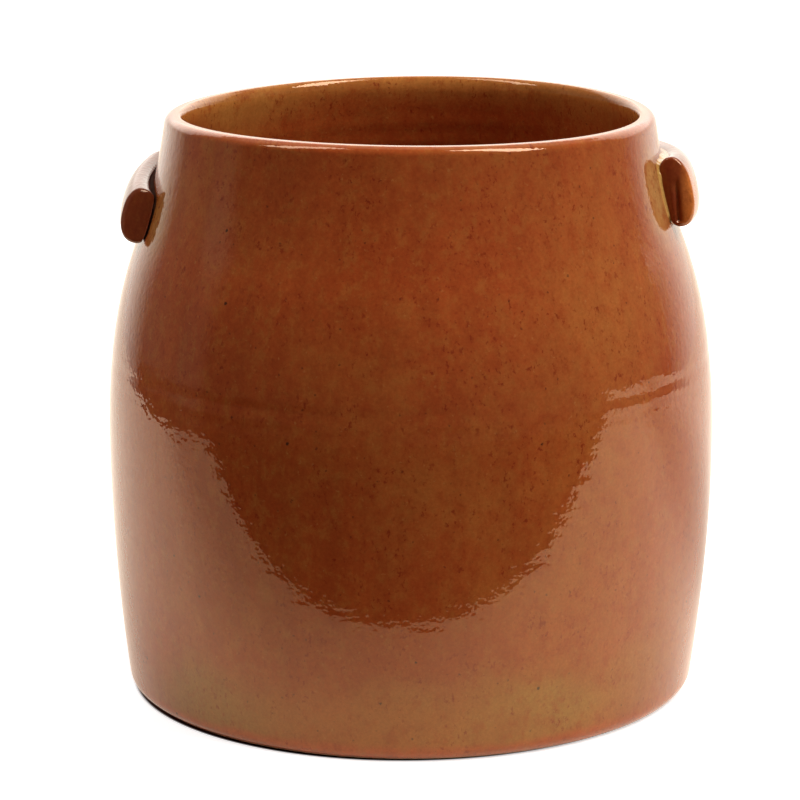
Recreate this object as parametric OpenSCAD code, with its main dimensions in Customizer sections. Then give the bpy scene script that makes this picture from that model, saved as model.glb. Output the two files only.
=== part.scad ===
// Floor-standing stoneware cachepot: a barrel-shaped pot with two solid lugs on its shoulder.
// It is thrown as two sections on a slab floor, and every joint is luted with a layer of slip.
// Millimetres. The origin is at the middle of the foot, +Z is up, and the lugs sit on the -X and +X sides.

/* [Outside shape] */
// Height from the ground to the top of the rim
height = 344; // [320:1:400]
// Radius of the wall just above the rounded foot edge
foot_r = 170; // [155:0.5:178]
// Angle at which the wall leans out where it leaves the foot
foot_lean = 7.5; // [2:0.5:14]
// Radius of the belly at its widest
belly_r = 180; // [174:1:200]
// Height of the belly's widest line
belly_z = 150; // [130:5:175]
// Radius of the shoulder at its steepest
shoulder_r = 161.5; // [156:0.5:170]
// Distance of the shoulder's steepest line below the rim
shoulder_drop = 75; // [65:1:90]
// Angle at which the wall leans in at the shoulder
shoulder_lean = 20.5; // [12:0.5:24]
// Outer radius of the rim
rim_r = 143.5; // [138:0.5:150]
// Angle at which the wall leans in at the rim
rim_lean = 8; // [0:1:12]

/* [Walls] */
// Thickness of the thrown wall
wall_t = 12; // [10:0.5:16]
// Thickness of the floor slab
floor_t = 15; // [12:0.5:20]
// Radius of the rounded edge between the wall and the ground
foot_round = 9; // [5:0.5:11]
// Radius of the rim's outer edge
lip_outer_round = 5; // [2:0.5:6]
// Radius of the rim's inner edge
lip_inner_round = 3; // [1:0.5:3]

/* [Underside] */
// Width of the flat ring that the pot stands on
foot_ring_w = 20; // [10:1:40]
// Depth of the recess turned inside the foot ring
recess_d = 2; // [1:0.5:4]
// Width of the sloping edge between the foot ring and the recess
recess_slope_w = 4; // [1:1:8]

/* [Luted joints] */
// Thickness of the slip in every joint
slip_t = 1.2; // [0.8:0.1:2]
// Height of the belly seam above the belly's widest line
seam_rise = 50; // [20:1:60]
// Height of the ridge on the lower wall that keys into the upper wall
seam_key_h = 5; // [2:0.5:8]
// Length of the clay coil's two legs in the corner between floor and wall
coil_leg = 16; // [10:1:24]
// Thickness of the coil's edges
coil_edge_t = 1; // [0.5:0.1:1.5]

/* [Lugs] */
// Length of each lug along the wall
lug_l = 96; // [70:1:130]
// Angle of each lug's middle behind the line from side to side
lug_turn = 2; // [0:0.5:12]
// Depth to which the back of each lug is cut to sit on the wall
lug_seat_d = 2.5; // [1.5:0.5:6]
// Angle by which the lugs stand more upright than the wall
lug_upright = 1.5; // [0:0.5:8]
// Radius of the edges of the lugs' cut ends
lug_end_round = 2.5; // [1:0.5:4]
// Distance of the left lug's middle below the rim
lug_left_drop = 52.5; // [42:0.5:60]
// Height of the left lug's section
lug_left_h = 32.5; // [28:0.5:44]
// Thickness of the left lug's clay bar
lug_left_t = 17; // [14:0.5:24]
// Angle at which the left lug climbs towards the back
lug_left_climb = 6; // [-10:0.5:10]
// Angle at which the left lug's ends are cut back from square
lug_left_bevel = 42; // [0:1:50]
// Distance of the right lug's middle below the rim
lug_right_drop = 45.5; // [38:0.5:60]
// Height of the right lug's section
lug_right_h = 41.5; // [28:0.5:44]
// Thickness of the right lug's clay bar
lug_right_t = 19; // [14:0.5:24]
// Angle at which the right lug climbs towards the back
lug_right_climb = -3.5; // [-10:0.5:10]
// Angle at which the right lug's ends are cut back from square
lug_right_bevel = 7; // [0:1:50]

/* [Hidden] */

glaze = [0.60, 0.29, 0.13];
dark_glaze = [0.47, 0.20, 0.10];
slip = [0.36, 0.19, 0.12];
bare_clay = [0.70, 0.47, 0.33];

turn_fn = 180; // sides of each turned shape
profile_step = 7.5; // rise between the points of the wall's curve, about
arc_step = 15; // angle between the points of a rounded edge
lean_step = 0.5; // half the rise over which the wall's lean is taken
lug_sides = 28; // points around a lug's section
lug_rings = 12; // sections between a lug's two rounded ends
lug_fullness = 2.3; // power of the section's oval: 2 is an ellipse, more is squarer

// Height at which the rounded foot edge runs into the wall, and at which the wall runs into the lip
foot_z = foot_round * (1 - sin(foot_lean));
lip_z = height - lip_outer_round * (1 - sin(rim_lean));
lip_inner_z = height - lip_inner_round * (1 + sin(rim_lean));

shoulder_z = height - shoulder_drop;
wall_z = floor_t + slip_t;
seam_z = belly_z + seam_rise;

// Each station of the wall's curve: height, outer radius, and the radius gained for each mm of height there
stations = [
    [foot_z, foot_r, tan(foot_lean)],
    [belly_z, belly_r, 0],
    [shoulder_z, shoulder_r, -tan(shoulder_lean)],
    [height, rim_r, -tan(rim_lean)]
];

// Cubic through two stations that keeps the slope of each
function cubic(a, b, u) =
    (1 + 2 * u) * pow(1 - u, 2) * a[1] + u * pow(1 - u, 2) * (b[0] - a[0]) * a[2]
    + u * u * (3 - 2 * u) * b[1] - u * u * (1 - u) * (b[0] - a[0]) * b[2];
function span_of(z) = z < belly_z ? 0 : z < shoulder_z ? 1 : 2;
function outer_r(z) =
    let (k = span_of(z), a = stations[k], b = stations[k + 1])
    cubic(a, b, (z - a[0]) / (b[0] - a[0]));
function inner_r(z) = outer_r(z) - wall_t;
function lean_in(z) = atan((outer_r(z - lean_step) - outer_r(z + lean_step)) / (2 * lean_step));

// Points up the wall's curve from one height to another, moved out by a distance
function wall_line(z0, z1, out) =
    let (n = max(1, round((z1 - z0) / profile_step)))
    [for (i = [0:n]) let (z = z0 + (z1 - z0) * i / n) [outer_r(z) + out, z]];
function arc(centre, r, from, to) =
    let (n = max(2, ceil(abs(to - from) / arc_step)))
    [for (i = [0:n]) let (a = from + (to - from) * i / n) centre + r * [cos(a), sin(a)]];
function reversed(list) = [for (i = [len(list) - 1:-1:0]) list[i]];

foot_arc_r = foot_r - foot_round * cos(foot_lean);
lip_outer_c = [outer_r(lip_z) - lip_outer_round * cos(rim_lean), height - lip_outer_round];
lip_inner_c = [inner_r(lip_inner_z) + lip_inner_round * cos(rim_lean), height - lip_inner_round];

// The ridge across the wall's thickness at the seam, raised by a distance
function seam_ridge(up) = [
    [outer_r(seam_z + up), seam_z + up],
    [outer_r(seam_z) - wall_t / 2, seam_z + seam_key_h + up],
    [inner_r(seam_z + up), seam_z + up]
];

// Outline of the upper wall's outside, which the lugs are cut to fit
function upper_line(out) = wall_line(seam_z + slip_t, lip_z, out);

module turned(points) {
    rotate_extrude($fn = turn_fn) polygon(points);
}

module floor_slab() {
    ring_in_r = foot_arc_r - foot_ring_w;
    color(bare_clay)
    turned(concat(
        [[0, floor_t], [0, recess_d], [ring_in_r - recess_slope_w, recess_d], [ring_in_r, 0]],
        arc([foot_arc_r, foot_round], foot_round, -90, -foot_lean),
        wall_line(foot_z, floor_t, 0)
    ));
}

module floor_slip() {
    color(slip)
    turned(concat(
        wall_line(floor_t, wall_z, 0),
        reversed(wall_line(floor_t, wall_z, -wall_t))
    ));
}

// Coil of clay worked into the corner, with a hollow face
module floor_coil() {
    top_z = floor_t + coil_leg;
    hollow_r = coil_leg - coil_edge_t;
    edge_r = inner_r(floor_t) - coil_leg;
    color(glaze)
    turned(concat(
        [[edge_r, floor_t], [inner_r(floor_t), floor_t]],
        wall_line(wall_z, top_z, -wall_t),
        arc([edge_r, top_z], hollow_r, 0, -90)
    ));
}

module lower_wall() {
    color(glaze)
    turned(concat(
        wall_line(wall_z, seam_z, 0),
        [seam_ridge(0)[1]],
        reversed(wall_line(wall_z, seam_z, -wall_t))
    ));
}

module seam_slip() {
    color(slip)
    turned(concat(seam_ridge(0), reversed(seam_ridge(slip_t))));
}

module upper_wall() {
    color(glaze)
    turned(concat(
        upper_line(0),
        arc(lip_outer_c, lip_outer_round, rim_lean, 90),
        arc(lip_inner_c, lip_inner_round, 90, 180 + rim_lean),
        reversed(wall_line(seam_z + slip_t, lip_inner_z, -wall_t)),
        [seam_ridge(slip_t)[1]]
    ));
}

// Everything inside the upper wall's outer face, grown by a distance
module pot_core(out) {
    turned(concat(
        [[0, seam_z + slip_t]],
        upper_line(out),
        [[0, lip_z]]
    ));
}

// Place around the wall of each ring of a lug, from 0 to 1, with how far the ring is drawn in
function lug_stops(arc_l) =
    let (e = lug_end_round, n = 90 / arc_step)
    concat(
        [for (i = [0:n]) [e * (1 - cos(i * arc_step)) / arc_l, e * (1 - sin(i * arc_step))]],
        [for (i = [1:lug_rings]) [(e + (arc_l - 2 * e) * i / (lug_rings + 1)) / arc_l, 0]],
        [for (i = [n:-1:0]) [1 - e * (1 - cos(i * arc_step)) / arc_l, e * (1 - sin(i * arc_step))]]
    );
function oval(c) = sign(c) * pow(abs(c), 2 / lug_fullness);

// One ring of a lug: an oval section standing on the wall at height z, in the plane at the angle.
// The ring is turned by cut, in degrees for each mm off the wall, which cuts the lug's ends back.
function lug_ring(angle, z, h, t, draw, cut) =
    let (lean = lean_in(z) - lug_upright, mid = t / 2 - lug_seat_d)
    [for (k = [0:lug_sides - 1])
        let (
            a = 360 * k / lug_sides,
            x = mid + (t / 2 - draw) * oval(cos(a)),
            y = (h / 2 - draw) * oval(sin(a)),
            r = outer_r(z) + x * cos(lean) - y * sin(lean),
            turn = angle + cut * x
        )
        [r * cos(turn), r * sin(turn), z + x * sin(lean) + y * cos(lean)]
    ];

// Bar of clay curved around the +X side of the wall, its back still whole
module lug_bar(drop, h, t, climb, bevel) {
    mid_z = height - drop;
    degree_per_mm = 180 / PI / outer_r(mid_z);
    rise = lug_l * tan(climb);
    stops = lug_stops(lug_l);
    rings = len(stops);
    points = [for (stop = stops)
        let (along = stop[0] - 0.5)
        each lug_ring(
            lug_turn + lug_l * along * degree_per_mm, mid_z + rise * along, h, t, stop[1],
            -2 * along * tan(bevel) * degree_per_mm
        )
    ];
    ends = [
        [for (k = [0:lug_sides - 1]) k],
        [for (k = [lug_sides - 1:-1:0]) (rings - 1) * lug_sides + k]
    ];
    sides = [for (i = [0:rings - 2], k = [0:lug_sides - 1])
        let (
            p = i * lug_sides + k,
            q = i * lug_sides + (k + 1) % lug_sides
        )
        each [[p, p + lug_sides, q], [q, p + lug_sides, q + lug_sides]]
    ];
    polyhedron(points, concat(ends, sides));
}

module left_bar() {
    mirror([1, 0, 0]) lug_bar(lug_left_drop, lug_left_h, lug_left_t, lug_left_climb, lug_left_bevel);
}

module right_bar() {
    lug_bar(lug_right_drop, lug_right_h, lug_right_t, lug_right_climb, lug_right_bevel);
}

// Cuts the back of a bar to the wall, with room for the slip
module seated() {
    difference() {
        children();
        pot_core(slip_t);
    }
}

// Keeps the layer of a bar that is the slip between the lug and the wall
module slip_layer() {
    difference() {
        intersection() {
            children();
            pot_core(slip_t);
        }
        pot_core(0);
    }
}

module lug_left() {
    color(dark_glaze)
    seated() left_bar();
}

module lug_right() {
    color(dark_glaze)
    seated() right_bar();
}

module lug_left_slip() {
    color(slip)
    slip_layer() left_bar();
}

module lug_right_slip() {
    color(slip)
    slip_layer() right_bar();
}

floor_slab();
floor_slip();
floor_coil();
lower_wall();
seam_slip();
upper_wall();
lug_left();
lug_right();
lug_left_slip();
lug_right_slip();
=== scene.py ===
import math

import bpy
import numpy as np
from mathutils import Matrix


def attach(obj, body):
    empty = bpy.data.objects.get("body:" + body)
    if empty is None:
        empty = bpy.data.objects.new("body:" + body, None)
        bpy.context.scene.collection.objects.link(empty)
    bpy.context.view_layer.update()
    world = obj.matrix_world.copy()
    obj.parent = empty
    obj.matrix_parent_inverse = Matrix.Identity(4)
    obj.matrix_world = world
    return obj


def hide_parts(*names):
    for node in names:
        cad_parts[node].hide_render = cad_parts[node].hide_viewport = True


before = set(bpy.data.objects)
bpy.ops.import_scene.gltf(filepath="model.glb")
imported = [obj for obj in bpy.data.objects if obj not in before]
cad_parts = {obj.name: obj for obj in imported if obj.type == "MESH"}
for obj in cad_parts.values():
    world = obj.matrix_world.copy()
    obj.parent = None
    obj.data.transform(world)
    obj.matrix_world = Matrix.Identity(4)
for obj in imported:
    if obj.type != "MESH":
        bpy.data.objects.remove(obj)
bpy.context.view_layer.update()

scene = bpy.context.scene
scene.view_settings.view_transform = "Standard"
print("frame loaded:", len(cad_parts), "nodes")

camera = {
    "place": (0, -1.9589, 0.6371),
    "turn": (76.549, 0.190, 0.142),  # degrees, looking down on the rim
    "lens": 151.94,
}

cameraData = bpy.data.cameras.new("studioCamera")
cameraData.lens = camera["lens"]
cameraObject = bpy.data.objects.new("studioCamera", cameraData)
cameraObject.location = camera["place"]
cameraObject.rotation_euler = [math.radians(turn) for turn in camera["turn"]]
scene.collection.objects.link(cameraObject)
scene.camera = cameraObject


def smooth(share):
    # runs from 0 to 1 with level ends: 3 s^2 - 2 s^3
    share = np.clip(share, 0, 1)
    return share * share * (3 - 2 * share)


def meshObject(name, points, faces, material):
    mesh = bpy.data.meshes.new(name)
    mesh.from_pydata(points.reshape(-1, 3).tolist(), [], faces)
    mesh.shade_smooth()
    mesh.materials.append(material)
    made = bpy.data.objects.new(name, mesh)
    scene.collection.objects.link(made)
    return made


def addNode(tree, kind, inputs=None, **settings):
    # a node with its settings, and each input set to a value or wired to a socket
    made = tree.nodes.new(kind)
    for key, value in settings.items():
        setattr(made, key, value)
    for key, value in (inputs or {}).items():
        if isinstance(value, bpy.types.NodeSocket):
            tree.links.new(value, made.inputs[key])
        else:
            made.inputs[key].default_value = value
    return made


def newMaterial(name):
    material = bpy.data.materials.new(name)
    material.use_nodes = True
    material.node_tree.nodes.clear()
    return material, material.node_tree


def calc(tree, operation, a, b, c=0.0):
    return addNode(tree, "ShaderNodeMath", {0: a, 1: b, 2: c}, operation=operation).outputs[0]


def vectorCalc(tree, operation, a, b=(0, 0, 0)):
    made = addNode(tree, "ShaderNodeVectorMath", {0: a, 1: b}, operation=operation)
    return made.outputs["Value" if operation in ("LENGTH", "DOT_PRODUCT") else "Vector"]


def partOf(tree, place, axis):
    return addNode(tree, "ShaderNodeSeparateXYZ", {0: place}).outputs[axis]


def objectPlace(tree):
    return addNode(tree, "ShaderNodeTexCoord").outputs["Object"]


def fromTo(tree, value, low, high, atLow, atHigh, soft=False):
    # atLow below low, atHigh above high
    kind = "SMOOTHSTEP" if soft else "LINEAR"
    inputs = {0: value, 1: low, 2: high, 3: atLow, 4: atHigh}
    return addNode(tree, "ShaderNodeMapRange", inputs, interpolation_type=kind).outputs[0]


def ramp(tree, value, low, high):
    # 0 below low, 1 above high, smooth between
    return fromTo(tree, value, low, high, 0.0, 1.0, soft=True)


def mixColours(tree, share, a, b, blend="MIX"):
    inputs = {0: share, 6: a, 7: b}
    return addNode(tree, "ShaderNodeMix", inputs, data_type="RGBA", blend_type=blend).outputs[2]


def rayKinds(tree):
    # 1 for camera rays, and 1 for the rays that mirror or pass through glass
    rays = addNode(tree, "ShaderNodeLightPath").outputs
    return rays["Is Camera Ray"], calc(tree, "MAXIMUM", rays["Is Glossy Ray"], rays["Is Transmission Ray"])


backdrop = {
    "white": (1, 1, 1, 1),
    "warm": (1, 0.93, 0.83, 1),  # the backdrop and the room as the glaze mirrors them
    "backLight": 0.6,  # how much the white backdrop lights the pot
    "litSky": (0.18, 0.45, 0.0, 1.1),  # direction upwards from, to, and how much brighter it is there
    "behind": (0.0958, 0.9954, 0),  # level direction in which the mirrored backdrop is brightest
    "behindGlow": (0.40, 0.88, 0.1, 1.6),  # nearness to that direction from, to, and the brightness there
    "softBox": (0.10, 0.26, 0.0, 0.95),  # mirrored light overhead: direction upwards from, to, brightness
}

world = bpy.data.worlds.new("studioWorld")
world.use_nodes = True
tree = world.node_tree
tree.nodes.clear()
direction = addNode(tree, "ShaderNodeTexCoord").outputs["Generated"]
upwards = partOf(tree, direction, "Z")
flat = vectorCalc(tree, "NORMALIZE", vectorCalc(tree, "MULTIPLY", direction, (1, 1, 0)))
behind = vectorCalc(tree, "DOT_PRODUCT", flat, backdrop["behind"])
behind = fromTo(tree, behind, *backdrop["behindGlow"], soft=True)
softBox = fromTo(tree, upwards, *backdrop["softBox"], soft=True)
mirrorColour = mixColours(tree, 1.0, backdrop["warm"], behind, "MULTIPLY")
mirrorColour = mixColours(tree, 1.0, mirrorColour, softBox, "ADD")
litLevel = calc(tree, "ADD", fromTo(tree, upwards, *backdrop["litSky"]), backdrop["backLight"])
seen, mirrored = rayKinds(tree)
colour = mixColours(tree, mirrored, litLevel, mirrorColour)
colour = mixColours(tree, seen, colour, backdrop["white"])
shine = addNode(tree, "ShaderNodeBackground", {"Color": colour, "Strength": 1.0})
addNode(tree, "ShaderNodeOutputWorld", {"Surface": shine.outputs[0]})
scene.world = world

table = {
    "colour": (0.80, 0.80, 0.80, 1),
    "warm": (0.88, 0.79, 0.68, 1), "glowWarm": (1, 0.86, 0.71, 1),  # as the glaze mirrors them
    "glow": (0.17, 0.30, 0.58, 0.74),  # distance from the axis from, to, and the glow there, lower near the pot as painted shade round its foot
    # painted shade on the table, also in what the glaze mirrors of it: place from, to, and the brightness
    # there
    "backShade": (-0.02, 0.20, 1.0, 0.60),  # the right is darker behind the pot
    "farShade": (0.25, 0.60, 0.0, 0.28),  # and brightens again farther off
    "leftShade": (-0.02, 0.07, 0.90),  # the left is darker, and the right is as above
    "frontShade": (-0.40, -0.24, 0.60, 1.0), "frontTurn": 0.35,  # and the front left is darker still
    # a painted contact shadow at the foot, wider at the front left: distance from, to, and the place moved by
    "paintedContactShadow": (0.1622, 0.1642), "contactShift": (0.004, 0.0015, 0),
    "paintedShadowColour": (0.06, 0.020, 0.014, 1),
    "outline": [(-1.17, -0.30), (0, -0.352), (0.36, -0.385), (2.7, -0.66), (2.5, 0.05), (2.1, 0.35),
                (1.35, 0.75), (1.35, 3), (-1.17, 3)],
    "around": 30, "drop": 0.0005,  # reach of the floor round the table, and how far it lies below
}


def paintedTableShade(tree, place):
    # painted shade of the table at a place: leftShade to (backShade + farShade) across it, times frontShade
    x = partOf(tree, place, "X")
    y = partOf(tree, place, "Y")
    right = fromTo(tree, y, *table["backShade"], soft=True)
    right = calc(tree, "ADD", right, fromTo(tree, y, *table["farShade"], soft=True))
    level = fromTo(tree, x, *table["leftShade"], right, soft=True)
    forward = calc(tree, "MULTIPLY_ADD", x, table["frontTurn"], y)
    return calc(tree, "MULTIPLY", level, fromTo(tree, forward, *table["frontShade"]))


# pale matt floor that keeps the pot's shadow; what its colour lacks of white, a glow adds for the camera
# its colour and glow carry painted shade of the table and a painted contact shadow at the foot
floorMaterial, tree = newMaterial("paleFloor")
place = objectPlace(tree)
# painted table shade: it darkens the floor's colour and the glow that the glaze mirrors
level = paintedTableShade(tree, place)
glow = fromTo(tree, vectorCalc(tree, "LENGTH", place), *table["glow"], soft=True)
# painted contact shadow: dark in the floor's colour and glow close round the foot
fromFoot = vectorCalc(tree, "LENGTH", vectorCalc(tree, "ADD", place, table["contactShift"]))
paintedContactShadow = fromTo(tree, fromFoot, *table["paintedContactShadow"], 0.0, 1.0)
seen, mirrored = rayKinds(tree)
seenGlow = calc(tree, "MULTIPLY", seen, calc(tree, "ADD", glow, calc(tree, "SUBTRACT", 1.0, level)))
mirroredGlow = calc(tree, "MULTIPLY", mirrored, calc(tree, "MULTIPLY", glow, level))
glow = calc(tree, "MULTIPLY", calc(tree, "ADD", seenGlow, mirroredGlow), paintedContactShadow)
colour = mixColours(tree, mirrored, table["colour"], table["warm"])
colour = mixColours(tree, 1.0, colour, level, "MULTIPLY")
colour = mixColours(tree, paintedContactShadow, table["paintedShadowColour"], colour)
matt = addNode(tree, "ShaderNodeBsdfDiffuse", {"Color": colour})
glowColour = mixColours(tree, mirrored, backdrop["white"], table["glowWarm"])
shine = addNode(tree, "ShaderNodeEmission", {"Color": glowColour, "Strength": glow})
both = addNode(tree, "ShaderNodeAddShader", {0: matt.outputs[0], 1: shine.outputs[0]})
addNode(tree, "ShaderNodeOutputMaterial", {"Surface": both.outputs[0]})


def levelSheet(name, outline, height):
    # a flat sheet facing up, from its outline of (x, y)
    points = np.array([(x, y, height) for x, y in outline])
    sheet = meshObject(name, points, [tuple(range(len(points)))], floorMaterial)
    return sheet


levelSheet("tableTop", table["outline"], 0)
reach = table["around"]
square = [(-reach, -reach), (reach, -reach), (reach, reach), (-reach, reach)]
floorAround = levelSheet("floorAround", square, -table["drop"])
floorAround.visible_glossy = False  # past the table's edge the glaze mirrors the dim room
floorAround.visible_diffuse = False

room = {
    "radius": 6,
    "grid": (181, 101), "rise": (-60, 90),  # points round and up, and elevations from, to
    "opening": (-125, 114),  # degrees from the front: the pale backdrop starts past these
    "top": 42,  # degrees above the horizon at which the room closes over the backdrop
    "floor": (-5, -1, 0.25),  # darker below the horizon: degrees from, to, and its share of the glow
    # glow of the walls: degrees from the front towards +X, brightness
    "walls": [(-125, 0.22), (-100, 0.2), (-96, 0.27), (-87, 0.27), (-81, 0.09), (-20, 0.04),
              (0, 0.07), (40, 0.14), (70, 0.19), (100, 0.21), (114, 0.25)],
    # and of the ceiling, dim in front and pale behind, which takes over between two elevations
    "ceiling": [(-180, 0.9), (-110, 0.9), (-85, 0.12), (85, 0.12), (110, 0.9), (180, 0.9)],
    "ceilingFrom": (36, 56),
}


def dimRoom():
    # a sphere round the scene, open where the backdrop is, with a glow by direction:
    # (azimuth, elevation) -> radius * (sin az cos el, -cos az cos el, sin el)
    azimuths = np.linspace(-180, 180, room["grid"][0])
    elevations = np.linspace(*room["rise"], room["grid"][1])
    az, el = np.meshgrid(azimuths, elevations, indexing="ij")
    azimuth, elevation = np.radians(az), np.radians(el)
    points = room["radius"] * np.stack([
        np.sin(azimuth) * np.cos(elevation), -np.cos(azimuth) * np.cos(elevation), np.sin(elevation)], -1)
    left, right = room["opening"]
    middleAz = (azimuths[:-1] + azimuths[1:]) / 2
    middleEl = (elevations[:-1] + elevations[1:]) / 2
    there = ((middleAz > left) & (middleAz < right))[:, None] | (middleEl > room["top"])[None, :]
    i, j = np.nonzero(there)
    count = len(elevations)
    corner = i * count + j
    faces = np.stack([corner, corner + count, corner + count + 1, corner + 1], -1)
    material, tree = newMaterial("roomGlow")
    level = addNode(tree, "ShaderNodeAttribute", attribute_name="glow")
    shine = addNode(tree, "ShaderNodeEmission", {"Color": backdrop["warm"], "Strength": level.outputs["Fac"]})
    addNode(tree, "ShaderNodeOutputMaterial", {"Surface": shine.outputs[0]})
    material.cycles.emission_sampling = "NONE"
    sphere = meshObject("dimRoom", points, faces.tolist(), material)
    glow = np.interp(az, *zip(*room["walls"]))
    low, high, share = room["floor"]
    glow *= share + (1 - share) * smooth((el - low) / (high - low))
    low, high = room["ceilingFrom"]
    above = smooth((el - low) / (high - low))
    glow = (glow + (np.interp(az, *zip(*room["ceiling"])) - glow) * above).ravel()
    sphere.data.attributes.new("glow", "FLOAT", "POINT").data.foreach_set("value", glow)
    sphere.visible_camera = False


dimRoom()

lampAim = (0, 0, 0.15)
lamps = {
    "keyLamp": {"place": (1.45, -0.84, 2.4), "size": (0.9, 1.9), "watts": 70},
    "fillLamp": {"place": (-1.54, -0.53, 2.4), "size": (0.65, 1.8), "watts": 26},
}
for name, lamp in lamps.items():
    lampData = bpy.data.lights.new(name, "AREA")
    lampData.shape = "RECTANGLE"
    lampData.size, lampData.size_y = lamp["size"]
    lampData.energy = lamp["watts"]
    lampObject = bpy.data.objects.new(name, lampData)
    lampObject.location = lamp["place"]
    lampObject.visible_camera = False
    x, y, z = np.array(lampAim) - np.array(lamp["place"])
    lampObject.rotation_euler = (math.atan2(math.hypot(x, y), -z), 0, math.atan2(-x, y))
    scene.collection.objects.link(lampObject)
print("studio made:", len(lamps), "lamps")


def newGroup(name, inputs, outputs):
    # a shader node group with named sockets: inputs are (name, kind, value), outputs are (name, kind)
    group = bpy.data.node_groups.new(name, "ShaderNodeTree")
    for label, kind, value in inputs:
        socket = group.interface.new_socket(label, in_out="INPUT", socket_type="NodeSocket" + kind)
        socket.default_value = value
    for label, kind in outputs:
        group.interface.new_socket(label, in_out="OUTPUT", socket_type="NodeSocket" + kind)
    return group, group.nodes.new("NodeGroupInput").outputs, group.nodes.new("NodeGroupOutput").inputs


def noise(tree, place, scale, detail, roughness=0.5):
    inputs = {"Vector": place, "Scale": scale, "Detail": detail, "Roughness": roughness}
    return addNode(tree, "ShaderNodeTexNoise", inputs).outputs["Fac"]


def longNoise(tree, place, stretch, detail, roughness=0.5):
    # a noise with its own scale along each axis
    place = addNode(tree, "ShaderNodeMapping", {"Vector": place, "Scale": stretch}).outputs[0]
    return noise(tree, place, 1, detail, roughness)


def specks(tree, place, scale, radius, share, core=0.55):
    # round spots of a radius, in cells, in a share of the cells, dark through out to a core of the radius
    cell = addNode(tree, "ShaderNodeTexVoronoi", {"Vector": place, "Scale": scale})
    spot = fromTo(tree, cell.outputs["Distance"], radius, radius * core, 0.0, 1.0)
    chance = addNode(tree, "ShaderNodeSeparateColor", {0: cell.outputs["Color"]}).outputs[0]
    return calc(tree, "MULTIPLY", spot, calc(tree, "LESS_THAN", chance, share))


def moved(tree, place, scale, amount, detail=2.0):
    # the place pushed about by a noise, for ragged edges: place + (noise - 0.5) * amount
    inputs = {"Vector": place, "Scale": scale, "Detail": detail}
    push = addNode(tree, "ShaderNodeTexNoise", inputs).outputs["Color"]
    push = vectorCalc(tree, "SUBTRACT", push, (0.5, 0.5, 0.5))
    push = addNode(tree, "ShaderNodeVectorMath", {0: push, "Scale": amount}, operation="SCALE").outputs[0]
    return vectorCalc(tree, "ADD", place, push)


glazeGrain = {
    "patch": (26, 5), "patchRim": (0.15, 1.0),
    "ragged": (700, 0.0016),  # scale of the noise that frays flecks and specks, and how far
    # noise: scale (or one for each axis), detail, roughness; range: where it starts and is full
    "cloud": (9, 4, 0.6), "cloudRange": (0.46, 0.68),
    "rust": (15, 4, 0.6), "rustRange": (0.48, 0.70),
    "runs": ((95, 95, 11), 3, 0.6), "runShade": (0.25, 0.75, 0.91, 1.09),
    "mottle": ((130, 130, 105), 5, 0.75), "palerRange": (0.48, 0.68), "darkerRange": (0.52, 0.34),
    "fine": (600, 3, 0.7), "fineShade": (0.25, 0.75, 0.84, 1.16),
    "crowd": (45, 3, 0.6), "crowdRange": (0.38, 0.62),  # where the rust flecks are
    "fleck": ((400, 400, 260), 3, 0.6), "fleckRange": (0.56, 0.68),
    "fleckColour": (0.19, 0.014, 0.004, 1),
    "dot": (360, 2, 0.5), "dotRange": (0.66, 0.76), "dotShare": 0.35,  # pale breaks
    "dotColour": (0.50, 0.22, 0.06, 1),
    # iron specks: scale, radius in cells, share of the cells, strength
    "specks": [(300, 0.15, 0.15, 0.3), (150, 0.12, 0.3, 0.5), (58, 0.072, 0.22, 0.85)],
    "lines": (70, 70, 240),  # drag lines from turning
    "peel": (300, 0.6), "finePeel": (560, 0.35),  # scale and share
    "coarsePeel": (140, 140, 170), "coarseShare": 0.3,
}


def glazeAndLightPatchGroup():
    # a soft oval patch of thinner or thicker glaze, and of painted light and shade: 1 in its middle, 0 past
    # its ragged rim
    group, given, out = newGroup("glazeAndLightPatch", [
        ("Centre", "Vector", (0, 0, 0)), ("Size", "Vector", (0.1, 0.1, 0.1)), ("Ragged", "Float", 0.03),
    ], [("Mask", "Float")])
    scale, detail = glazeGrain["patch"]
    place = moved(group, objectPlace(group), scale, given["Ragged"], detail)
    away = vectorCalc(group, "DIVIDE", vectorCalc(group, "SUBTRACT", place, given["Centre"]), given["Size"])
    mask = fromTo(group, vectorCalc(group, "LENGTH", away), *glazeGrain["patchRim"], 1.0, 0.0, soft=True)
    group.links.new(mask, out["Mask"])
    return group


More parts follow.
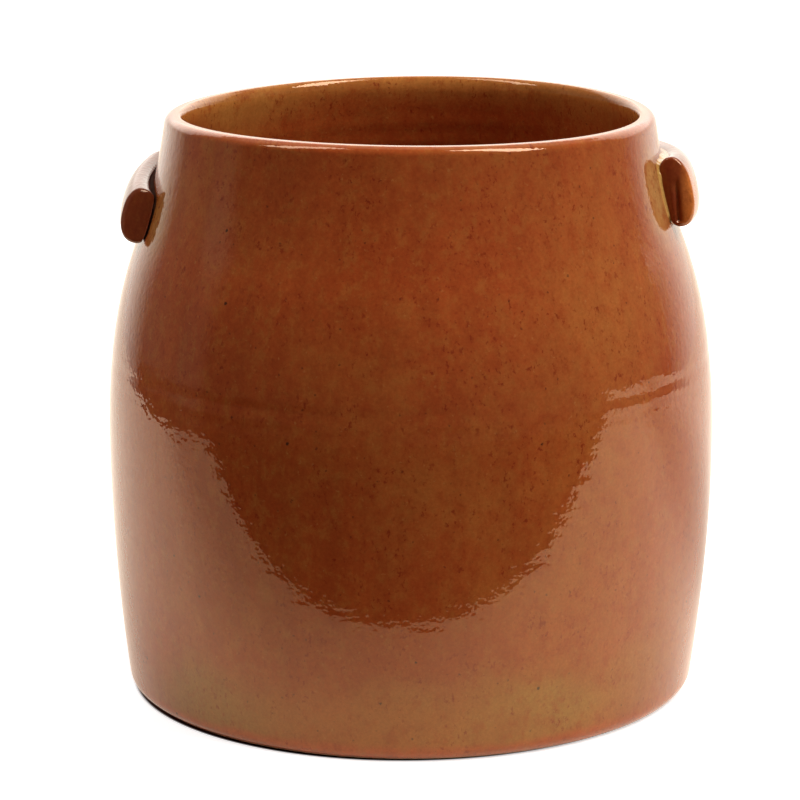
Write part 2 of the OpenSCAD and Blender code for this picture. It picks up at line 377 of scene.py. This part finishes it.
def glazeToneGroup():
    # colour of an iron glaze: broad clouds, runs, fine mottle, rust flecks, pale breaks and dark iron specks
    group, given, out = newGroup("glazeTone", [
        ("Base", "Color", (0.35, 0.07, 0.012, 1)), ("Ochre", "Color", (0.42, 0.15, 0.025, 1)),
        ("Rust", "Color", (0.26, 0.035, 0.008, 1)), ("Iron", "Color", (0.016, 0.009, 0.006, 1)),
        ("Cloud", "Float", 0.5), ("Mottle", "Float", 0.6), ("Fleck", "Float", 0.6), ("Speck", "Float", 1.0),
    ], [("Color", "Color")])
    grain = glazeGrain

    def masked(value, span, share):
        return calc(group, "MULTIPLY", ramp(group, value, *span), share)

    place = objectPlace(group)
    ragged = moved(group, place, *grain["ragged"])
    cloud = masked(noise(group, place, *grain["cloud"]), grain["cloudRange"], given["Cloud"])
    colour = mixColours(group, cloud, given["Base"], given["Ochre"])
    rust = masked(noise(group, place, *grain["rust"]), grain["rustRange"], given["Cloud"])
    colour = mixColours(group, rust, colour, given["Rust"])
    shade = fromTo(group, longNoise(group, place, *grain["runs"]), *grain["runShade"])
    colour = mixColours(group, 1.0, colour, shade, "MULTIPLY")
    mottle = longNoise(group, place, *grain["mottle"])
    colour = mixColours(group, masked(mottle, grain["palerRange"], given["Mottle"]), colour, given["Ochre"])
    colour = mixColours(group, masked(mottle, grain["darkerRange"], given["Mottle"]), colour, given["Rust"])
    fine = fromTo(group, noise(group, place, *grain["fine"]), *grain["fineShade"])
    colour = mixColours(group, 1.0, colour, fine, "MULTIPLY")
    crowd = masked(noise(group, place, *grain["crowd"]), grain["crowdRange"], given["Fleck"])
    fleck = masked(longNoise(group, ragged, *grain["fleck"]), grain["fleckRange"], crowd)
    colour = mixColours(group, fleck, colour, grain["fleckColour"])
    dot = masked(noise(group, ragged, *grain["dot"]), grain["dotRange"], given["Fleck"])
    colour = mixColours(group, calc(group, "MULTIPLY", dot, grain["dotShare"]), colour, grain["dotColour"])
    speck = 0.0
    for scale, radius, share, strength in grain["specks"]:
        spot = calc(group, "MULTIPLY", specks(group, ragged, scale, radius, share), strength)
        speck = calc(group, "MAXIMUM", speck, spot)
    colour = mixColours(group, calc(group, "MULTIPLY", speck, given["Speck"]), colour, given["Iron"])
    group.links.new(colour, out["Color"])
    return group


def glazeSkinGroup():
    # height of the glaze's skin: short level drag lines from turning, and an orange peel at three scales
    group, given, out = newGroup("glazeSkin", [("Lines", "Float", 1.0), ("Peel", "Float", 1.0)],
                                 [("Height", "Float")])
    place = objectPlace(group)
    scale, share = glazeGrain["peel"]
    peel = calc(group, "MULTIPLY", noise(group, place, scale, 0), share)
    scale, share = glazeGrain["finePeel"]
    peel = calc(group, "MULTIPLY_ADD", noise(group, place, scale, 0), share, peel)
    coarse = longNoise(group, place, glazeGrain["coarsePeel"], 0)
    peel = calc(group, "MULTIPLY_ADD", coarse, glazeGrain["coarseShare"], peel)
    lines = longNoise(group, place, glazeGrain["lines"], 0)
    height = calc(group, "MULTIPLY_ADD", lines, given["Lines"], calc(group, "MULTIPLY", peel, given["Peel"]))
    group.links.new(height, out["Height"])
    return group


glazeAndLightPatch = glazeAndLightPatchGroup()
glazeTone = glazeToneGroup()
glazeSkin = glazeSkinGroup()


def glazeMaterial(name, settings):
    # a clear, warm glass over coloured clay: mirror-like, with its colour from the body below
    material, tree = newMaterial(name)
    colour = settings["base"]
    # patches of glaze tone, and some of painted light and shade
    for centre, size, ragged, share, shade in settings["patches"]:
        inputs = {"Centre": centre, "Size": size, "Ragged": ragged}
        mask = addNode(tree, "ShaderNodeGroup", inputs, node_tree=glazeAndLightPatch)
        colour = mixColours(tree, calc(tree, "MULTIPLY", mask.outputs[0], share), colour, shade)
    band = settings["footBand"]  # thinner, redder glaze at the rounding of the foot
    height = partOf(tree, moved(tree, objectPlace(tree), *band["ragged"]), "Z")
    mask = fromTo(tree, height, *band["rise"], band["share"], 0.0, soft=True)
    colour = mixColours(tree, mask, colour, band["colour"])
    band = settings["lipPaintedLight"]  # a paler band inside the lip: painted light near the rim
    place = moved(tree, objectPlace(tree), *band["ragged"])
    fromAxis = vectorCalc(tree, "LENGTH", vectorCalc(tree, "MULTIPLY", place, (1, 1, 0)))
    mask = calc(tree, "MULTIPLY", ramp(tree, partOf(tree, place, "Z"), *band["rise"]),
                ramp(tree, fromAxis, *band["radius"]))
    colour = mixColours(tree, calc(tree, "MULTIPLY", mask, band["share"]), colour, band["colour"])
    labels = ("Ochre", "Rust", "Cloud", "Mottle", "Fleck", "Speck")
    inputs = {label: settings[label.lower()] for label in labels}
    tone = addNode(tree, "ShaderNodeGroup", {"Base": colour, **inputs}, node_tree=glazeTone)
    inputs = {"Lines": settings["lines"], "Peel": settings["peel"]}
    skin = addNode(tree, "ShaderNodeGroup", inputs, node_tree=glazeSkin)
    bump = addNode(tree, "ShaderNodeBump", {
        "Height": skin.outputs[0], "Strength": 1.0, "Distance": settings["relief"]})
    shader = addNode(tree, "ShaderNodeBsdfPrincipled", {
        "Base Color": tone.outputs[0], "Roughness": settings["roughness"], "IOR": settings["ior"],
        "Specular Tint": settings["glassTint"], "Normal": bump.outputs[0]})
    addNode(tree, "ShaderNodeOutputMaterial", {"Surface": shader.outputs[0]})
    return material


olive = (0.34, 0.160, 0.028, 1)
honey = (0.39, 0.115, 0.022, 1)
paintedHighlightCream = (0.44, 0.210, 0.060, 1)
wallGlazeLook = {
    "base": (0.350, 0.0625, 0.0125, 1), "ochre": (0.38, 0.118, 0.023, 1), "rust": (0.29, 0.039, 0.008, 1),
    "cloud": 0.4, "mottle": 0.45, "fleck": 0.7, "speck": 1.0,
    "lines": 0.1, "peel": 0.5, "relief": 0.00023,
    "roughness": 0.02, "ior": 1.62, "glassTint": (1, 0.70, 0.46, 1),
    # rise and radius: from, to; ragged: scale, amount and detail of the noise that frays the band
    "footBand": {"rise": (0.006, 0.012), "ragged": (60, 0.006, 4), "share": 0.85,
                 "colour": (0.46, 0.080, 0.020, 1)},
    # painted light: paler inside the lip near the rim
    "lipPaintedLight": {"rise": (0.322, 0.342), "radius": (0.140, 0.137), "ragged": (40, 0.008, 4), "share": 0.8,
                "colour": (0.46, 0.17, 0.035, 1)},
    # centre, size, ragged, share, colour
    "patches": [
        ((0.110, -0.125, 0.250), (0.075, 0.09, 0.15), 0.05, 0.5, honey),
        ((0.060, -0.155, 0.026), (0.120, 0.07, 0.042), 0.03, 1.0, olive),
        ((0.130, -0.115, 0.034), (0.050, 0.06, 0.030), 0.03, 0.4, olive),
        ((-0.030, -0.165, 0.020), (0.120, 0.06, 0.034), 0.04, 0.75, honey),
        ((-0.115, -0.125, 0.020), (0.080, 0.075, 0.040), 0.03, 1.0, (0.30, 0.122, 0.023, 1)),
        ((0.090, -0.150, 0.135), (0.080, 0.09, 0.100), 0.05, 0.4, honey),
        # painted shade: darker on the lower left, away from the key lamp
        ((-0.080, -0.150, 0.130), (0.080, 0.080, 0.110), 0.05, 0.5, (0.27, 0.036, 0.006, 1)),
        ((-0.1445, -0.056, 0.290), (0.017, 0.024, 0.042), 0.004, 0.9, (0.35, 0.15, 0.032, 1)),
        ((0.140, -0.055, 0.300), (0.018, 0.026, 0.048), 0.004, 1.0, (0.50, 0.25, 0.08, 1)),
        # painted highlight: the pale band of reflected light down the right edge at the shoulder
        ((0.172, -0.010, 0.300), (0.042, 0.080, 0.110), 0.02, 0.95, paintedHighlightCream),
        # painted sheen: a faint pinkish reflection on the upper left
        ((-0.106, -0.110, 0.293), (0.020, 0.020, 0.045), 0.03, 0.2, (0.42, 0.16, 0.09, 1)),
        # painted light: the lit and mirrored ochre inside the back left of the wall
        ((-0.100, 0.085, 0.346), (0.095, 0.075, 0.050), 0.02, 1.0, (0.42, 0.17, 0.035, 1)),
        ((0.02, 0.150, 0.05), (0.12, 0.08, 0.06), 0.05, 0.6, olive),
        ((-0.08, 0.150, 0.24), (0.10, 0.06, 0.10), 0.05, 0.6, honey),
    ],
}
insideGlazeLook = {**wallGlazeLook, "base": (0.32, 0.055, 0.009, 1), "cloud": 0.7, "patches": []}
lugGlazeLook = {
    **wallGlazeLook,
    "base": (0.20, 0.032, 0.008, 1), "ochre": (0.26, 0.060, 0.012, 1), "rust": (0.17, 0.020, 0.006, 1),
    "lines": 0.2, "peel": 0.6, "fleck": 0.2, "speck": 0.7,
    "patches": [
        # painted light: the right half of the right lug's end face, lit and mirroring bright light
        ((0.1635, -0.046, 0.298), (0.0105, 0.030, 0.060), 0.002, 1.0, (0.80, 0.23, 0.042, 1)),
        # painted light: the lug tops and outer sides paler where they mirror bright light, more on the right
        ((0.176, 0.000, 0.305), (0.020, 0.042, 0.050), 0.002, 1.0, (0.52, 0.30, 0.13, 1)),
        ((-0.176, 0.000, 0.305), (0.022, 0.042, 0.050), 0.002, 1.0, (0.25, 0.09, 0.045, 1)),
    ],
}
filletGlazeLook = {
    **wallGlazeLook,
    "base": (0.54, 0.28, 0.070, 1), "ochre": (0.60, 0.35, 0.11, 1), "rust": (0.40, 0.14, 0.03, 1),
    "fleck": 0.4, "speck": 0.5, "peel": 1.0, "patches": [],
}
# painted shade: dark and matt, nearly without reflection, in the crevice round the left lug
creviceShadeLook = {
    **filletGlazeLook,
    "base": (0.040, 0.016, 0.010, 1), "ochre": (0.055, 0.022, 0.012, 1), "rust": (0.025, 0.010, 0.007, 1),
    "fleck": 0.1, "roughness": 0.6, "ior": 1.03,
}
wallGlaze = glazeMaterial("wallGlaze", wallGlazeLook)
insideGlaze = glazeMaterial("insideGlaze", insideGlazeLook)
lugGlaze = glazeMaterial("lugGlaze", lugGlazeLook)
filletGlazes = {
    # painted shade in the crevice round the left lug
    "Left": glazeMaterial("paintedCreviceShade", creviceShadeLook),
    "Right": glazeMaterial("filletGlaze", filletGlazeLook),
}

clayLook = {
    "grain": (160, 5, 0.7), "grainRange": (0.3, 0.7),
    "pale": (0.52, 0.26, 0.13, 1), "dark": (0.38, 0.17, 0.08, 1),
    "grog": (260, 0.3, 0.4), "grogColour": (0.16, 0.07, 0.04, 1),
    "bump": 0.6, "relief": 0.0002, "roughness": 0.85,
}


def clayMaterial(name, settings):
    # bare fired clay: matt, grainy, with darker grog
    material, tree = newMaterial(name)
    place = objectPlace(tree)
    grain = noise(tree, place, *settings["grain"])
    colour = mixColours(tree, ramp(tree, grain, *settings["grainRange"]), settings["dark"], settings["pale"])
    colour = mixColours(tree, specks(tree, place, *settings["grog"]), colour, settings["grogColour"])
    bump = addNode(tree, "ShaderNodeBump", {
        "Height": grain, "Strength": settings["bump"], "Distance": settings["relief"]})
    shader = addNode(tree, "ShaderNodeBsdfPrincipled", {
        "Base Color": colour, "Roughness": settings["roughness"], "Normal": bump.outputs[0]})
    addNode(tree, "ShaderNodeOutputMaterial", {"Surface": shader.outputs[0]})
    return material


bareClay = clayMaterial("bareClay", clayLook)
print("glazes made:", len(bpy.data.materials), "materials")

wall = {
    "footRound": 0.009,
    "heights": [None, 0.150, 0.269, 0.344],  # foot, belly, shoulder, rim; the foot's follows from its round
    "radii": [0.170, 0.180, 0.1615, 0.1435],
    "leans": [7.5, 0, -20.5, -8],  # degrees outwards
    "thickness": 0.012,
    "lipOuter": 0.0055, "lipInner": (0.0048, 0.010),  # round outside, and a longer, softer one inside
    "lipPoints": (12, 18),
    "floor": 0.015, "slip": 0.0012,
    "seam": 0.200, "ridge": 0.005,
    "around": 384,  # points round each turned piece
    "fineStep": 0.0012, "coarseStep": 0.003,  # rise between rings outside and inside
}
wall["heights"][0] = wall["footRound"] * (1 - math.sin(math.radians(wall["leans"][0])))

hand = {
    "seed": 11,
    "inset": 0.0004,  # keeps the skin inside the frame's box
    "waves": 90,
    "waveDepth": 0.00016,  # depth of a wave to each metre of its rise
    "waveRise": (0.005, 0.016), "waveCount": 34,
    "sway": 0.0002, "swayParts": [(0.6, 2), (0.4, 3)],  # share and turns
    # marks of the joint: height, width and depth
    "seams": [(0.2005, 0.0042, 0.00017), (0.1900, 0.0036, 0.00008)],
    # how the marks wander up and down and how their depth varies: amount, turns, phase
    "wander": [(0.0012, 1, 0.6), (0.0008, 5, 0), (0.0005, 13, 1)],
    "uneven": [(0.35, 4, 2), (0.3, 9, 0)],
    "footShift": -0.00077, "footShiftTop": 0.12,
    "rimBend": (-0.00071, 0.00074), "rimBendFrom": 0.18,
    "grooveRise": 0.013, "grooveDepth": 0.00022,
    "grooveTop": 0.335, "grooveFade": 0.03,
    "calmRadius": 0.12,  # within this the relief fades out towards the axis
}

stationZ = np.array(wall["heights"])
stationR = np.array(wall["radii"])
stationSlope = np.tan(np.radians(wall["leans"]))
rimZ = float(stationZ[-1])


def outerRadius(z):
    # radius of the outside at a height: a cubic between two stations that keeps the slope of each
    k = np.clip(np.searchsorted(stationZ, z, side="right") - 1, 0, len(stationZ) - 2)
    gap = stationZ[k + 1] - stationZ[k]
    u = (z - stationZ[k]) / gap
    return ((1 + 2 * u) * (1 - u) ** 2 * stationR[k] + u * (1 - u) ** 2 * gap * stationSlope[k]
            + u * u * (3 - 2 * u) * stationR[k + 1] - u * u * (1 - u) * gap * stationSlope[k + 1])


rng = np.random.default_rng(hand["seed"])
waveTurns = rng.integers(0, hand["waveCount"], hand["waves"]) * rng.choice([-1, 1], hand["waves"])
waveRise = rng.uniform(*hand["waveRise"], hand["waves"])
wavePhase = rng.uniform(0, 2 * np.pi, hand["waves"])
swayPhase = rng.uniform(0, 2 * np.pi, len(hand["swayParts"]))


def ripple(angle, parts):
    # amount * cos(turns * angle + phase), summed over the parts
    return sum(amount * np.cos(turns * angle + phase) for amount, turns, phase in parts)


def handRelief(angle, z, inside):
    # how far the wall stands in or out of its true curve, in metres: slow sways round the pot, small waves
    # left by the fingers, each depth * rise * cos(turns * angle + 2 pi height / rise + phase), and shallow
    # marks at the joint; inside runs from 0 on the outer face to 1 on the inner one, which has a spiral groove
    parts = [(share, turns, phase) for (share, turns), phase in zip(hand["swayParts"], swayPhase)]
    sway = hand["sway"] * (ripple(angle, parts) - 1)
    waves = np.zeros(np.broadcast(angle, z).shape)
    for turns, rise, phase in zip(waveTurns, waveRise, wavePhase):
        waves += rise * np.cos(turns * angle + 2 * np.pi * z / rise + phase)
    waves *= hand["waveDepth"]
    wander = ripple(angle, hand["wander"])
    strength = 1 + ripple(angle, hand["uneven"])
    groove = sum(-depth * strength * np.exp(-((z - height - wander) / width) ** 2)
                 for height, width, depth in hand["seams"])
    fade = smooth((hand["grooveTop"] - z) / hand["grooveFade"])
    spiral = hand["grooveDepth"] * np.cos(2 * np.pi * z / hand["grooveRise"] + angle) * fade
    return sway - hand["inset"] + (waves + groove) * (1 - inside) + spiral * inside


def handBend(points):
    # the foot stands a little to one side, and the rim is bent like a saddle: x + shift, fading out up the
    # wall, and z + a cos(2 angle) + b sin(2 angle) - hypot(a, b), fading in up the wall
    x, y, z = points[..., 0], points[..., 1], points[..., 2]
    a, b = hand["rimBend"]
    angle = np.arctan2(y, x)
    rise = smooth((z - hand["rimBendFrom"]) / (rimZ - hand["rimBendFrom"]))
    bent = points.copy()
    bent[..., 0] += hand["footShift"] * (1 - smooth(z / hand["footShiftTop"]))
    bent[..., 2] += (a * np.cos(2 * angle) + b * np.sin(2 * angle) - math.hypot(a, b)) * rise
    return bent


def gridFaces(rings, around, closedLoop):
    # four-sided faces between each ring of points and the next, round and round
    i, j = np.meshgrid(np.arange(rings if closedLoop else rings - 1), np.arange(around), indexing="ij")
    nextI, nextJ = (i + 1) % rings, (j + 1) % around
    corners = [i * around + j, i * around + nextJ, nextI * around + nextJ, nextI * around + j]
    return np.stack(corners, -1).reshape(-1, 4).tolist()


def cappedFaces(rings, around):
    # a tube of rings with a fan at each end, to the two middle points that come after the rings
    faces = gridFaces(rings, around, False)
    j = np.arange(around)
    last = (rings - 1) * around
    faces += np.stack([(j + 1) % around, j, np.full(around, rings * around)], -1).tolist()
    faces += np.stack([last + j, last + (j + 1) % around, np.full(around, rings * around + 1)], -1).tolist()
    return faces


def finishPiece(name, points, faces, material, node, crispAngle=40):
    # makes the mesh, turns it outwards if need be, keeps its corners crisp and puts it in the frame
    points = points.reshape(-1, 3)
    corner = [points[np.array([face[k] for face in faces])] for k in range(3)]
    if np.einsum("ij,ij->i", corner[0], np.cross(corner[1], corner[2])).sum() < 0:
        faces = [tuple(reversed(face)) for face in faces]
    piece = meshObject(name, points, faces, material)
    piece.data.set_sharp_from_angle(angle=math.radians(crispAngle))
    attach(piece, "root")
    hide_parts(node)
    return piece


def turnedPiece(name, profile, material, node, poles=False):
    # a profile of (radius, height) turned round the axis: (r + relief) * (cos, sin), with poles for a disc
    r, z = profile[:, 0][:, None], profile[:, 1][:, None]
    angle = np.linspace(0, 2 * np.pi, wall["around"], endpoint=False)[None, :]
    depth = smooth((outerRadius(np.maximum(z, stationZ[0])) - r) / wall["thickness"])
    radius = r + handRelief(angle, z + 0 * angle, depth) * smooth(r / hand["calmRadius"])
    points = handBend(np.stack([radius * np.cos(angle), radius * np.sin(angle), z + 0 * radius], -1))
    rings, around = radius.shape
    if poles:
        ends = points[[0, -1], 0]
        points = np.vstack([points[1:-1].reshape(-1, 3), ends])
        faces = cappedFaces(rings - 2, around)
    else:
        faces = gridFaces(rings, around, True)
    return finishPiece(name, points, faces, material, node)


def wallLine(low, high, step, inside=False):
    # points up the wall's curve, about one step apart
    z = np.linspace(low, high, max(2, round((high - low) / step) + 1))
    return np.column_stack([outerRadius(z) - (wall["thickness"] if inside else 0), z])


def arcLine(centre, radius, start, stop, count):
    # points of an arc: centre + radius * (cos, sin), angles in degrees
    a = np.radians(np.linspace(start, stop, count))
    return np.array(centre) + radius * np.column_stack([np.cos(a), np.sin(a)])


rimLean = math.radians(-wall["leans"][-1])
seamZ, slip = wall["seam"], wall["slip"]
lipOuterZ = rimZ - wall["lipOuter"] * (1 - math.sin(rimLean))
lipOuterR = outerRadius(lipOuterZ) - wall["lipOuter"] * math.cos(rimLean)
lipWidth, lipDrop = wall["lipInner"]
outerPoints, innerPoints = wall["lipPoints"]
lipInnerZ = rimZ - lipDrop
lipInnerR = outerRadius(lipInnerZ) - wall["thickness"]
turn = np.radians(np.linspace(0, 90, innerPoints))[:, None]
innerLip = np.hstack([  # leaning quarter oval: out by width (1 - sin), up by drop cos
    lipInnerR - math.tan(rimLean) * lipDrop * np.cos(turn) + lipWidth * (1 - np.sin(turn)),
    lipInnerZ + lipDrop * np.cos(turn)])
keyR = float(outerRadius(seamZ)) - wall["thickness"] / 2

upperProfile = np.vstack([
    wallLine(seamZ + slip, lipOuterZ, wall["fineStep"])[:-1],
    arcLine((lipOuterR, rimZ - wall["lipOuter"]), wall["lipOuter"], math.degrees(rimLean), 90, outerPoints),
    [[(lipOuterR + innerLip[0, 0]) / 2, rimZ]],
    innerLip,
    wallLine(seamZ + slip, lipInnerZ, wall["coarseStep"], inside=True)[:-1][::-1],
    [[keyR, seamZ + slip + wall["ridge"]]],
])
lowerProfile = np.vstack([
    wallLine(wall["floor"] + slip, seamZ, wall["fineStep"]),
    [[keyR, seamZ + wall["ridge"]]],
    wallLine(wall["floor"] + slip, seamZ, wall["coarseStep"], inside=True)[::-1],
])
seamProfile = np.vstack([
    wallLine(seamZ, seamZ + slip, slip / 2),
    [[keyR, seamZ + slip + wall["ridge"]]],
    wallLine(seamZ, seamZ + slip, slip / 2, inside=True)[::-1],
    [[keyR, seamZ + wall["ridge"]]],
])
floorSlipProfile = np.vstack([
    wallLine(wall["floor"], wall["floor"] + slip, slip / 2),
    wallLine(wall["floor"], wall["floor"] + slip, slip / 2, inside=True)[::-1],
])
turnedPiece("upperWall", upperProfile, wallGlaze, "upper_wall")
turnedPiece("lowerWall", lowerProfile, wallGlaze, "lower_wall")
turnedPiece("seamRing", seamProfile, wallGlaze, "seam_slip")
turnedPiece("floorRing", floorSlipProfile, wallGlaze, "floor_slip")
print("walls turned:", len(upperProfile) + len(lowerProfile), "rings")

base = {
    "ring": 0.020, "ringInset": 0.01, "recess": 0.002, "recessEdge": 0.004,
    "coil": 0.016, "coilEdge": 0.001,
    "arcPoints": 14,
    "firstRing": 0.01, "discRings": (14, 30),  # below and above, from the middle outwards
    "glazeLine": 0.0022,
}
footLean = math.radians(wall["leans"][0])
footR = stationR[0] - wall["footRound"] * math.cos(footLean)
ringR = footR - base["ring"]
innerFloorR = float(outerRadius(wall["floor"])) - wall["thickness"]
coilR = innerFloorR - base["coil"]
coilTop = wall["floor"] + base["coil"]


def discLine(start, stop, height, count):
    # level points from one radius to another
    return np.column_stack([np.linspace(start, stop, count), np.full(count, height)])


below, above = base["discRings"]
slabProfile = np.vstack([
    [[0, base["recess"]]],
    discLine(base["firstRing"], ringR - base["recessEdge"], base["recess"], below),
    [[ringR, 0], [footR - base["ringInset"], 0]],
    arcLine((footR, wall["footRound"]), wall["footRound"], -90, -math.degrees(footLean), base["arcPoints"]),
    wallLine(stationZ[0], wall["floor"], wall["fineStep"])[1:],
    discLine(innerFloorR, base["firstRing"], wall["floor"], above),
    [[0, wall["floor"]]],
])
coilProfile = np.vstack([
    [[coilR, wall["floor"]], [innerFloorR, wall["floor"]]],
    wallLine(wall["floor"] + slip, coilTop, wall["coarseStep"], inside=True),
    arcLine((coilR, coilTop), base["coil"] - base["coilEdge"], 0, -90, base["arcPoints"]),
])
floorSlab = turnedPiece("floorSlab", slabProfile, wallGlaze, "floor_slab", poles=True)
floorSlab.data.materials.append(bareClay)
polygons = floorSlab.data.polygons
centres = np.empty(len(polygons) * 3)
polygons.foreach_get("center", centres)
bare = centres[2::3] < base["glazeLine"]  # wiped clean of glaze below this height
polygons.foreach_set("material_index", bare.astype(np.int32))
turnedPiece("floorCoil", coilProfile, insideGlaze, "floor_coil")
print("floor made")

lug = {
    "length": 0.096, "turn": 2, "seat": 0.0025, "upright": 1.5, "endRound": 0.0025,
    "fullness": 2.3,  # 2 is a true oval, and more is squarer
    "around": 144, "along": 60, "roundSteps": 6, "capRings": 24,
    "leanStep": 0.0005,
    # the crease in a cut face fades in below a level, as a share of the height, and out at the face's rim
    "creaseTop": 0.22, "creaseFade": 0.2, "creaseRim": 1.02, "creaseRimFade": 0.12,
}
lugSides = {
    "Left": {
        "drop": 0.0525, "height": 0.0325, "thick": 0.017, "climb": 6, "bevel": 42, "side": -1,
        "bulge": 0.0004, "crease": 0.0002, "creaseAt": (0, 0), "creaseWidth": 0.003,
        "fillet": (0.0014, 0.0020),  # reach along the wall, and up the lug
    },
    "Right": {
        "drop": 0.0455, "height": 0.0415, "thick": 0.019, "climb": -3.5, "bevel": 7, "side": 1,
        "bulge": 0.0013, "crease": 0.0018, "creaseAt": (0.0010, 0.13), "creaseWidth": 0.0015,
        "fillet": (0.0030, 0.0038),
    },
}
fillet = {
    "steps": 11, "around": 240,
    "power": 0.35,  # squareness of the outline round the lug: 1 is an oval, and less is squarer
    "under": 0.003, "sink": 0.0008,  # how far it comes back under the lug, and down into the wall
    "overlap": 0.0003,  # how far its upper edge lies inside the lug
    "deepest": 0.002,  # below the wall's face
    "ragged": [(0.22, 7, 1), (0.16, 17, 0), (0.10, 29, 2)],
}


def leanIn(z):
    # how far the wall leans in at a height, in radians, from its radius just below and above
    step = lug["leanStep"]
    return np.arctan((outerRadius(z - step) - outerRadius(z + step)) / (2 * step))


def signedPower(value, power):
    return np.sign(value) * np.abs(value) ** power


def lugPlace(spec, offset, x, y, gap):
    # a place on a lug: offset along the wall from the lug's middle, x out from the wall and y up its section,
    # with the cut faces slanted by the bevel, and never deeper than a gap above the wall
    middle = rimZ - spec["drop"]
    perMetre = 1 / float(outerRadius(middle))
    z = middle + math.tan(math.radians(spec["climb"])) * offset
    lean = leanIn(z) - math.radians(lug["upright"])
    height = z + x * np.sin(lean) + y * np.cos(lean)
    radius = outerRadius(z) + x * np.cos(lean) - y * np.sin(lean)
    radius = np.maximum(radius, outerRadius(height) + gap)
    slant = 2 * offset / lug["length"] * math.tan(math.radians(spec["bevel"]))
    turn = math.radians(lug["turn"]) + (offset - slant * x) * perMetre
    return np.stack([spec["side"] * radius * np.cos(turn), radius * np.sin(turn), height], -1)


def lugPoints(spec, along, draw, scale, gap):
    # an oval section at each stop along the bar, with cos and sin to the power 2 / fullness: drawn in at the
    # rounded ends and shrunk to the middle on the cut faces, which swell a little and have a crease
    along, draw, scale = along[:, None], draw[:, None], scale[:, None]
    a = np.linspace(0, 2 * np.pi, lug["around"], endpoint=False)[None, :]
    half = spec["thick"] / 2
    x = scale * (half - draw) * signedPower(np.cos(a), 2 / lug["fullness"])
    y = scale * (spec["height"] / 2 - draw) * signedPower(np.sin(a), 2 / lug["fullness"])
    crease, tilt = spec["creaseAt"]
    lower = smooth((lug["creaseTop"] - y / spec["height"]) / lug["creaseFade"])
    within = smooth((lug["creaseRim"] - scale) / lug["creaseRimFade"])
    groove = np.exp(-((x - crease - tilt * y) / spec["creaseWidth"]) ** 2) * lower * within
    swell = spec["bulge"] * (1 - scale ** 2) - spec["crease"] * groove
    offset = (along - 0.5) * lug["length"] + np.where(scale < 1, np.sign(along - 0.5), 0) * swell
    return lugPlace(spec, offset, x + half - lug["seat"], y, gap)


def lugRings():
    # the stops from one cut face to the other: face, rounded edge, bar, rounded edge, face
    e, length = lug["endRound"], lug["length"]
    faceScale = np.linspace(0, 1, lug["capRings"] + 1)[1:-1]
    arc = np.linspace(0, np.pi / 2, lug["roundSteps"] + 1)
    edgeAlong, edgeDraw = e * (1 - np.cos(arc)) / length, e * (1 - np.sin(arc))
    bar = np.linspace(e / length, 1 - e / length, lug["along"] + 2)[1:-1]
    along = np.concatenate([0 * faceScale, edgeAlong, bar, 1 - edgeAlong[::-1], 0 * faceScale + 1])
    draw = np.concatenate([0 * faceScale + e, edgeDraw, 0 * bar, edgeDraw[::-1], 0 * faceScale + e])
    scale = np.concatenate([faceScale, np.ones(len(edgeAlong) * 2 + len(bar)), faceScale[::-1]])
    return along, draw, scale


def filletPoints(spec):
    # slip drawn out round a lug's foot: a rounded outline, (A + d) cos^p and (B + d) sin^p, where d goes out
    # along a hollow quarter round, d = f (1 - cos) and height = g (1 - sin), and comes back under the lug
    reach, rise = spec["fillet"]
    half = spec["thick"] / 2
    fullness = lug["fullness"]
    under, sink = fillet["under"], fillet["sink"]
    hollow = np.linspace(0, np.pi / 2, fillet["steps"])
    out = np.concatenate([reach * (1 - np.cos(hollow)), [reach, -under, -under]])[:, None]
    up = np.concatenate([rise * (1 - np.sin(hollow)), [-sink, -sink, rise]])[:, None]
    middle = (half - lug["seat"] - rise) / half
    halfHeight = spec["height"] / 2 * (1 - middle ** fullness) ** (1 / fullness) - fillet["overlap"]
    t = np.linspace(0, 2 * np.pi, fillet["around"], endpoint=False)[None, :]
    out = np.where(out > 0, out * (1 + ripple(t, fillet["ragged"])), out)
    offset = (lug["length"] / 2 - fillet["overlap"] + out) * signedPower(np.cos(t), fillet["power"])
    y = (halfHeight + out) * signedPower(np.sin(t), fillet["power"])
    return lugPlace(spec, offset, up + 0 * t - hand["inset"], y, -fillet["deepest"])


for side, spec in lugSides.items():
    node = "lug_" + side.lower()
    points = handBend(lugPoints(spec, *lugRings(), slip - hand["inset"]))
    faces = cappedFaces(*points.shape[:2])
    ends = points[[0, -1]].mean(1)  # a middle point closes each cut face
    finishPiece("lug" + side, np.vstack([points.reshape(-1, 3), ends]), faces, lugGlaze, node)
    points = handBend(filletPoints(spec))
    faces = gridFaces(*points.shape[:2], True)
    finishPiece("lugFillet" + side, points, faces, filletGlazes[side], node + "_slip")
print("lugs made")
